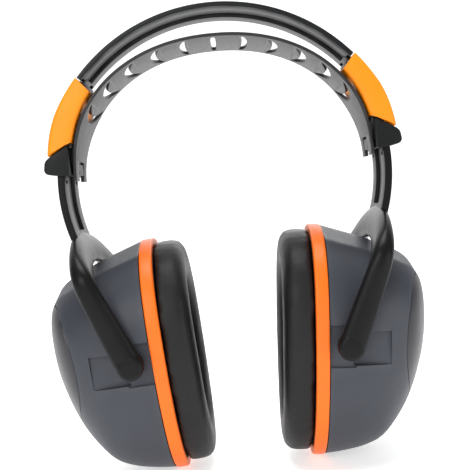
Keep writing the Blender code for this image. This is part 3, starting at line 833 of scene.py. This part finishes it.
# The section of the sleeve's outside or of its hollow, at the angles of its outer and inner face.
def sleeveRing(angles, hollow):
    look = sleeveLook
    middle = sum(angles) / 2
    bend = max(0.0, middle - look["bend"]) / (look["bottom"][0] - look["bend"])
    outer = look["outer"] - look["drawIn"] * bend**1.5
    tunnel = stemLook["inner"] - stemLook["clearance"] + slideRise * math.cos(math.radians(middle))
    inner, half, corner = tunnel - look["innerWall"], look["halfWidth"], look["corner"]
    if hollow:
        outer, inner, half, corner = outer - look["wall"], tunnel, look["tunnelHalf"], 0.6
    corners = ((outer, half), (inner, half), (inner, -half), (outer, -half), (outer + 0.01, 0))
    ring = []
    for radius, y in roundedSection(corners, corner, 5):
        share = (radius - inner) / (outer - inner)
        ring.append(onArc(radius, angles[1] + (angles[0] - angles[1]) * share, y, bandZ))
    return ring


def makeSleeves():
    look = sleeveLook
    pairs = list(zip(spread(look["top"][0], look["bottom"][0], look["steps"]),
                     spread(look["top"][1], look["bottom"][1], look["steps"])))
    outer = [sleeveRing(pair, False) for pair in pairs]
    inner = [sleeveRing(pair, True) for pair in pairs]
    sleeve = toObject("rightSleeve", skin(outer + inner[::-1], closed=True), "sleeveAmber", 45)
    bevelEdges(sleeve, look["edge"], 3, 60)
    lip = look["lip"]
    tunnel = stemLook["inner"] - stemLook["clearance"] + slideRise * math.cos(math.radians(lip["angle"]))
    radius = tunnel - look["innerWall"]
    form = bmesh.new()
    bmesh.ops.create_uvsphere(form, u_segments=32, v_segments=16, radius=1)
    shape = Matrix.Diagonal((lip["across"] / 2, lip["half"], lip["height"] + 0.1, 1))
    place = arcPlace(radius + 0.1, lip["angle"], 0, bandZ)
    bmesh.ops.transform(form, matrix=place @ shape, verts=form.verts)
    cut(sleeve, toObject("lip", form, "sleeveAmber"), operation="UNION")
    settlePair(sleeve, "Sleeve", headBody, "orange_plastic", "sleeve")


# Stems, forks and the housings that they slide through

stemLook = {
    "outer": 73.0, "inner": 69.8, "floor": 71.2, "halfWidth": 17.5, "channelHalf": 7.5,
    "top": 67.0, "ledge": 105.5, "bottom": 109.0, "clearance": 0.35, "rounding": 0.55,
    "steps": 60, "firstGroove": 76.5,
    "row": {
        "slots": 7, "pitch": 3.2, "width": 0.9, "length": 13.0, "depth": 0.7,
        "bow": 0.0, "ease": 2.0, "taper": 0.0, "widening": 0.0,
    },
    "notch": {"angle": 82.6, "apart": 5.0, "width": 1.5, "depth": 0.9, "length": 3.4},
}


def stemBlock(inner, outer, halfWidth, first, last, steps):
    rings = []
    for angle in spread(first, last, steps):
        section = ((inner, -halfWidth), (outer, -halfWidth), (outer, halfWidth), (inner, halfWidth))
        rings.append([onArc(radius, angle, y, slideZ) for radius, y in section])
    return skin(rings)


def makeStem():
    look = stemLook
    outer, inner, half, channel = look["outer"], look["inner"], look["halfWidth"], look["channelHalf"]
    rings = []
    angles = [look["top"], *spread(look["top"] + 1, look["ledge"], look["steps"])]
    angles += [look["ledge"] + 0.2, look["bottom"]]
    for angle in angles:
        floor = look["floor"] if look["top"] < angle <= look["ledge"] else inner
        corners = (
            (outer, -half), (outer, half), (inner, half), (inner, channel), (floor, channel - 0.4),
            (floor, -channel + 0.4), (inner, -channel), (inner, -half),
        )
        rings.append([onArc(r, angle, y, slideZ) for r, y in roundedSection(corners, look["rounding"])])
    stem = toObject("rightStem", skin(rings), "yokeBlack")
    notch = look["notch"]
    for side in sides.values():
        for angle in (notch["angle"], notch["angle"] + notch["apart"]):
            size = (notch["width"] / 2, notch["length"] / 2, notch["depth"])
            form = boxOnArc(size, inner, angle, side * (half + channel) / 2, slideZ)
            cut(stem, toObject("notchCutter", form, "yokeBlack"))
    return stem


# Click stops for the spring, in a row across the stem's outer face.
def cutGrooves(stem, tree, names):
    look = stemLook
    row = look["row"]
    run = math.degrees(row["pitch"] * row["slots"] / look["outer"])
    angles = spread(look["firstGroove"], look["firstGroove"] + run, 60)
    line = lineObject("grooveLine", [onArc(look["outer"], angle, 0, slideZ) for angle in angles])
    cutSlots(stem, tree, names, line, row, "yokeBlack")


forkLook = {
    "lean": math.radians(24.4),
    "stations": (
        # out from the middle, up from the pivot, offset outward, breadth, thickness
        (44.15, 0.0, 0.0, 11.2, 4.9),
        (44.15, 20.0, 0.0, 10.2, 4.9),
        (44.0, 34.5, -0.1, 9.4, 5.6),
        (40.9, 40.9, -0.4, 9.0, 10.4),
        (33.0, 45.2, -0.9, 7.8, 14.8),
        (19.0, 50.6, -1.6, 6.4, 14.6),
        (0.0, 53.0, -1.9, 5.8, 14.8),
    ),
    "stationSteps": 8, "around": 40, "squareness": 0.92, "armY": (41.7, 46.6),
    "endRadius": 5.6, "bossRadius": 5.1, "bossY": 38.2, "studRadius": 2.8, "studY": 35.2,
    "innerRound": 0.9, "outerRound": 2.2,
}


def makeFork():
    look = forkLook
    lean = look["lean"]
    up = Vector((math.sin(lean), 0, math.cos(lean)))
    out = Vector((math.cos(lean), 0, -math.sin(lean)))
    half = smoothThrough(look["stations"], look["stationSteps"])
    path = [(-y, *rest) for y, *rest in half] + half[-2::-1]
    rings = []
    for i, (y, q, n, breadth, thickness) in enumerate(path):
        before, after = path[max(i - 1, 0)], path[min(i + 1, len(path) - 1)]
        along = (Vector((0, after[0] - before[0], 0)) + up * (after[1] - before[1])).normalized()
        across = along.cross(out)
        centre = Vector((pivotX, y, pivotZ)) + up * q + out * n
        ring = []
        for k in range(look["around"]):
            turn = 2 * math.pi * k / look["around"]
            c, s = math.cos(turn), math.sin(turn)
            a = math.copysign(abs(c) ** look["squareness"], c) * breadth / 2
            b = math.copysign(abs(s) ** look["squareness"], s) * thickness / 2
            ring.append(centre + out * a + across * b)
        rings.append(ring)
    return toObject("rightYoke", skin(rings), "yokeBlack")


# A round form about the pivot's line, from (distance out, radius) points.
def lathe(profile, sign, steps=48):
    rings = []
    for y, radius in profile:
        ring = []
        for k in range(steps):
            turn = 2 * math.pi * k / steps
            x, z = pivotX + radius * math.cos(turn), pivotZ + radius * math.sin(turn)
            ring.append(Vector((x, sign * y, z)))
        rings.append(ring)
    return skin(rings)


def makeYokes(tree, names):
    look = forkLook
    yoke = makeFork()
    stem = makeStem()
    cutGrooves(stem, tree, names)
    cut(yoke, stem, operation="UNION")
    inner, outer = look["armY"]
    radius = look["endRadius"]
    small, large = look["innerRound"], look["outerRound"]
    profile = [
        (look["studY"], look["studRadius"] - 0.5),
        (look["studY"] + 0.5, look["studRadius"]),
        (look["bossY"], look["studRadius"]),
        (look["bossY"] + 0.02, look["bossRadius"]),
        (inner - 0.02, look["bossRadius"]),
        (inner, radius - small),
    ]
    for k in range(1, 7):
        turn = math.pi / 2 * k / 6
        profile.append((inner + small * (1 - math.cos(turn)), radius - small + small * math.sin(turn)))
    for k in range(0, 9):
        turn = math.pi / 2 * k / 8
        profile.append((outer - large + large * math.sin(turn), radius - large + large * math.cos(turn)))
    profile.append((outer + 0.01, 0.6))
    for sign in (-1, 1):
        cut(yoke, toObject("armEnd", lathe(profile, sign), "yokeBlack"), operation="UNION")
    smooth(yoke, 32)
    settlePair(yoke, "Yoke", yokeBody, "black_plastic", "yoke")


housingLook = {
    "outline": (
        (66.9, 23.3), (75.8, 18.5), (77.3, 17.0), (77.9, 13.2), (76.9, 11.6), (73.9, 10.9), (66.9, 10.3),
    ),
    "rounding": 0.9, "halfWidth": 20.2, "edge": 0.9, "tabHalf": 5.6, "tabZ": (10.6, 15.6),
    "tabX": 64.9, "tunnelAngles": (60, 100), "tunnelSteps": 60, "springHalf": 6.35,
    "springX": (72.0, 75.5), "springZ": (12.6, 18.4),
}


def makeHousings():
    look = housingLook
    stem = stemLook
    outline = roundedSection(look["outline"], look["rounding"], 3)
    half = look["halfWidth"]
    rings = [[Vector((x, y, bandZ + z)) for x, z in outline] for y in (-half, half)]
    housing = toObject("rightHousing", skin(rings), "housingBlack")
    bevelEdges(housing, look["edge"], 4, 60)
    tab = boxForm((look["tabX"], -look["tabHalf"], bandZ + look["tabZ"][0]),
                  (look["outline"][0][0] + 1, look["tabHalf"], bandZ + look["tabZ"][1]))
    cut(housing, bevelEdges(toObject("tab", tab, "housingBlack"), 0.5, 3), operation="UNION")
    clear = stem["clearance"]
    tunnel = stemBlock(
        stem["inner"] - clear, stem["outer"] + clear, stem["halfWidth"] + clear,
        *look["tunnelAngles"], look["tunnelSteps"],
    )
    pocket = boxForm((look["springX"][0], -look["springHalf"], bandZ + look["springZ"][0]),
                     (look["springX"][1], look["springHalf"], bandZ + look["springZ"][1]))
    cut(housing, toObject("tunnel", tunnel, "housingBlack"), toObject("pocket", pocket, "housingBlack"))
    flattenShading(housing)
    settlePair(housing, "Housing", headBody, "black_plastic", "slider_housing")


# Cups: stations are (depth outward, top, bottom, half width) about the pivot

cupLook = {
    "stations": (
        (-8.2, 48.7, -53.7, 40.7),
        (0.0, 46.3, -52.6, 40.2),
        (9.7, 43.4, -50.2, 39.2),
        (17.6, 40.4, -45.8, 37.4),
        (25.0, 37.3, -36.0, 34.2),
        (29.8, 34.2, -26.2, 29.7),
        (33.2, 29.4, -16.2, 23.5),
        (35.3, 23.6, -8.6, 16.5),
        (36.2, 15.0, -1.0, 8.0),
    ),
    "hollow": (
        (0.0, 2.4), (-0.2, 2.4), (-0.2, 2.4), (-0.2, 2.4), (-0.9, 2.2),
        (-0.9, 2.2), (-0.9, 2.2), (-2.4, 0.6), (-2.4, 0.6),
    ),
    "widest": 0.40, "powers": (2.4, 2.1), "facetRise": 0.3,
    "facetSlope": math.radians(13),
    "around": 128, "stationSteps": 5, "padY": 34.7, "padDepth": 19.0, "padZ": (-10.5, 10.0),
    "padOuterY": 38.8,
    # floor, depths, heights
    "pockets": ((37.8, (-9.5, 2.5), (-9.3, 8.5)), (36.0, (1.5, 17.5), (-8.5, 5.5))),
    "socketRadius": 3.15, "socketY": 34.8, "socketBossRadius": 5.5, "socketBossY": 33.6,
    "edge": 0.35,
}
panelLook = {
    "outline": (
        (0, -29.5), (10, -28), (22, -22), (30, -13), (33.6, -2), (33.4, 11),
        (29.5, 21.5), (22, 27.2), (13, 26), (5, 20), (0, 16.5),
    ),
    "cutDepths": (18.0, 45.0), "recess": 1.3, "thickness": 1.0, "gap": 0.45, "edge": 0.25,
}
cupPlace = Matrix.Translation((pivotX, 0, pivotZ)) @ Matrix.Rotation(cupTilt, 4, "Y")


# Points (y, z) round an egg, broad above. A facet is a flat each side of its top.
def egg(top, bottom, halfWidth, steps, faceted=False):
    look = cupLook
    rise = look["facetRise"] if faceted else math.inf
    slope = math.tan(look["facetSlope"])
    widest = top - look["widest"] * (top - bottom)
    points = []
    for i in range(steps):
        turn = 2 * math.pi * i / steps
        across, up = math.sin(turn), math.cos(turn)
        power = look["powers"][0] if up >= 0 else look["powers"][1]
        reach = top - widest if up >= 0 else widest - bottom
        y = halfWidth * math.copysign(abs(across) ** (2 / power), across)
        z = widest + reach * math.copysign(abs(up) ** (2 / power), up)
        points.append((y, min(z, top + rise - slope * abs(y))))
    return points


def eggRing(depth, top, bottom, halfWidth, inset=0.0, steps=None, faceted=False):
    outline = egg(top - inset, bottom + inset, halfWidth - inset, steps or cupLook["around"], faceted)
    return [cupPlace @ Vector((depth, y, z)) for y, z in outline]


def cupRings(shift=0.0, inset=0.0):
    stations = smoothThrough(cupLook["stations"], cupLook["stationSteps"])
    return [
        eggRing(depth + shift, top, bottom, half, inset, faceted=True)
        for depth, top, bottom, half in stations
    ]


def placedForm(form):
    bmesh.ops.transform(form, matrix=cupPlace, verts=form.verts)
    return form


def panelPrism(grow):
    look = panelLook
    half = smoothThrough(look["outline"], 8)
    outline = half + [(-y, z) for y, z in half[-2:0:-1]]
    middle = sum(z for _, z in outline) / len(outline)
    rings = []
    for depth in look["cutDepths"]:
        ring = []
        for y, z in outline:
            reach = math.hypot(y, z - middle)
            scale = (reach + grow) / reach
            ring.append(Vector((depth, y * scale, middle + (z - middle) * scale)))
        rings.append(ring)
    return placedForm(skin(rings))


def cylinderForm(yFrom, yTo, radius):
    form = bmesh.new()
    place = Matrix.Translation((0, (yFrom + yTo) / 2, 0)) @ Matrix.Rotation(math.pi / 2, 4, "X")
    bmesh.ops.create_cone(
        form, cap_ends=True, segments=48, radius1=radius, radius2=radius, depth=abs(yTo - yFrom), matrix=place
    )
    return placedForm(form)


def sortedBox(x, y, z):
    low, high = zip(*(sorted(pair) for pair in (x, y, z)))
    return placedForm(boxForm(low, high))


def makeShells():
    look = cupLook
    hollow = [(*station, *offset) for station, offset in zip(look["stations"], look["hollow"])]
    inner = [
        eggRing(depth + shift, top, bottom, half, inset, faceted=True)
        for depth, top, bottom, half, shift, inset in smoothThrough(hollow, 3)
    ]
    shell = toObject("rightCupShell", skin(cupRings()[::-1] + inner), "cupSlate", 35)
    inside = toObject("insideOfWall", skin(cupRings(inset=1.2)), "cupSlate")
    for sign in (-1, 1):
        padY = (sign * look["padY"], sign * look["padOuterY"])
        padX = (look["stations"][0][0], look["padDepth"])
        pad = toObject("pad", sortedBox(padX, padY, look["padZ"]), "cupSlate")
        keep = inside.copy()
        bpy.context.scene.collection.objects.link(keep)
        cut(pad, keep, operation="INTERSECT")
        boss = cylinderForm(sign * look["socketBossY"], sign * (look["padY"] + 0.5), look["socketBossRadius"])
        cut(shell, pad, toObject("boss", boss, "cupSlate"), operation="UNION")
        for floor, depths, heights in look["pockets"]:
            pocketY = (sign * floor, sign * (floor + 8))
            cut(shell, toObject("pocket", sortedBox(depths, pocketY, heights), "cupSlate"))
        socket = cylinderForm(sign * look["socketY"], sign * look["padOuterY"], look["socketRadius"])
        cut(shell, toObject("socket", socket, "cupSlate"))
    bpy.data.objects.remove(inside)
    recess = toObject("recess", panelPrism(panelLook["gap"]), "cupSlate")
    cut(recess, toObject("underRecess", skin(cupRings(shift=-panelLook["recess"])), "cupSlate"))
    cut(shell, recess)
    bevelEdges(shell, look["edge"], 2, 40)
    settlePair(shell, "CupShell", cupBody, "slate_plastic", "cup_shell")


def makePanels():
    look = panelLook
    panel = toObject("rightCupPanel", panelPrism(0.0), "panelViolet")
    cut(panel, toObject("outside", skin(cupRings()), "panelViolet"), operation="INTERSECT")
    cut(panel, toObject("under", skin(cupRings(shift=-look["thickness"])), "panelViolet"))
    bevelEdges(panel, look["edge"], 2, 40)
    settlePair(panel, "CupPanel", cupBody, "panel_plastic", "cup_panel")


linerLook = {
    "first": 3, "gap": 3.1, "depth": 5.6, "side": 4.2, "edge": 1.0, "lump": 0.35,
    "lumpSize": 5.0, "fill": 1.0, "around": 96,
}


# Foam lining, slightly lumpy on the ear's side.
def makeLiners():
    look = linerLook
    stations = cupLook["stations"][look["first"]:]

    def rings(path, shift, inset):
        return [
            eggRing(depth + shift, top, bottom, half, inset, look["around"])
            for depth, top, bottom, half in smoothThrough(path, 6)
        ]

    outer = rings(stations[:-1], -look["gap"], look["gap"])
    inner = rings(stations[:-2], -look["gap"] - look["depth"], look["gap"] + look["side"])
    form = skin(outer[::-1] + inner)
    liner = toObject("rightFoamLiner", form, "acousticFoam", 60)
    bevelEdges(liner, look["edge"], 3, 50)
    for vertex in liner.data.vertices:
        place = vertex.co / mm
        push = noise.noise(place / look["lumpSize"]) * look["lump"]
        vertex.co += vertex.normal * push * mm
    left = settlePair(liner, "FoamLiner", cupBody, "grey_foam", "foam_liner")


ringLook = {
    "outline": (49.2, -54.1, 41.2),
    "section": ((0.0, -14.0), (0.0, -8.5), (3.8, -8.5), (3.8, -14.0)),
    "rounding": 1.0,
    "steps": 160,
}


# A section of (inset, depth) points, carried round the trim ring's outline.
def aroundCup(section, steps=None):
    top, bottom, half = ringLook["outline"]
    rings = [eggRing(depth, top, bottom, half, inset, steps or ringLook["steps"]) for inset, depth in section]
    return skin(rings, closed=True)


def makeRings():
    look = ringLook
    section = roundedSection(look["section"], look["rounding"], 4)
    ring = toObject("rightTrimRing", aroundCup(section), "ringOrange", 50)
    settlePair(ring, "TrimRing", cupBody, "orange_ring_plastic", "trim_ring")


cushionLook = {
    "section": (
        (2.4, -14.3), (1.9, -17.0), (1.9, -21.4), (3.0, -24.9), (6.4, -26.9),
        (12.2, -27.5), (17.0, -26.0), (20.2, -22.4), (21.2, -18.2), (21.0, -14.3),
    ),
    "middle": (11.5, -18.5), "startIn": 0.3, "plateDepth": -14.3, "heldDepth": -16.2,
    "easeIn": 3, "voxel": 2.0, "pressure": 6.0, "skinMass": 0.2, "quality": 5, "frames": 20,
    "most": 0.9, "fill": 0.85,
}


# A welded skin over foam: it starts a little slack and is blown up, held where it meets its plate.
def makeCushions():
    look = cushionLook
    middle = Vector(look["middle"])
    first, *between, last = smoothThrough(look["section"], 4)
    section = [first]
    for point in between:
        inward = middle - Vector(point)
        ease = min(1.0, (look["plateDepth"] - point[1]) / look["easeIn"])
        section.append(Vector(point) + inward.normalized() * look["startIn"] * ease)
    section.append(last)
    cushion = toObject("rightCushion", aroundCup(section, 128), "cushionVinyl", 180)
    inflate(cushion, look)
    left = settlePair(cushion, "Cushion", cupBody, "black_vinyl", "cushion_cover", "cushion_foam")


def inflate(piece, look):
    remesh = piece.modifiers.new("even", "REMESH")
    remesh.mode = "VOXEL"
    remesh.voxel_size = look["voxel"] * mm
    bake(piece, 180)
    start = [vertex.co.copy() for vertex in piece.data.vertices]
    back = cupPlace.inverted()
    group = piece.vertex_groups.new(name="held")
    for vertex in piece.data.vertices:
        depth = (back @ (vertex.co / mm)).x
        if depth > look["heldDepth"]:
            group.add([vertex.index], 1.0, "REPLACE")
    cloth = piece.modifiers.new("skin", "CLOTH")
    settings = cloth.settings
    settings.quality = look["quality"]
    settings.mass = look["skinMass"]
    settings.use_pressure = True
    settings.uniform_pressure_force = look["pressure"]
    settings.vertex_group_mass = "held"
    settings.effector_weights.gravity = 0
    cloth.point_cache.frame_start = 1
    cloth.point_cache.frame_end = look["frames"]
    scene = bpy.context.scene
    for frameNumber in range(1, look["frames"] + 1):
        scene.frame_set(frameNumber)
    bake(piece, 180)
    most = look["most"] * mm
    for vertex, origin in zip(piece.data.vertices, start):
        move = vertex.co - origin
        if move.length > most:
            vertex.co = origin + move.normalized() * most
    piece.vertex_groups.clear()
    scene.frame_set(1)
    modifier = piece.modifiers.new("soft", "SUBSURF")
    modifier.levels = modifier.render_levels = 1
    bake(piece, 180)


# Nodes that keep their own shape

keptNodes = {
    "cushion_plate": "plateBlack",
    "detent_spring": "springSteel",
}


def finishKeptNodes():
    for node, finish in keptNodes.items():
        for side in sides:
            mesh = frame["nodes"][f"{side}_{node}"].data
            for i in range(len(mesh.materials)):
                mesh.materials[i] = finishes[finish]


makeBand()
print("outer headband made")
rowTree, rowNames = slotTree()
makeStrap(rowTree, rowNames)
print("strap made")
makeSleeves()
makeHousings()
print("sleeves and housings made")
makeYokes(rowTree, rowNames)
print("yokes made")
makeShells()
makePanels()
makeLiners()
print("cups made")
makeRings()
makeCushions()
print("rings and cushions made")
finishKeptNodes()
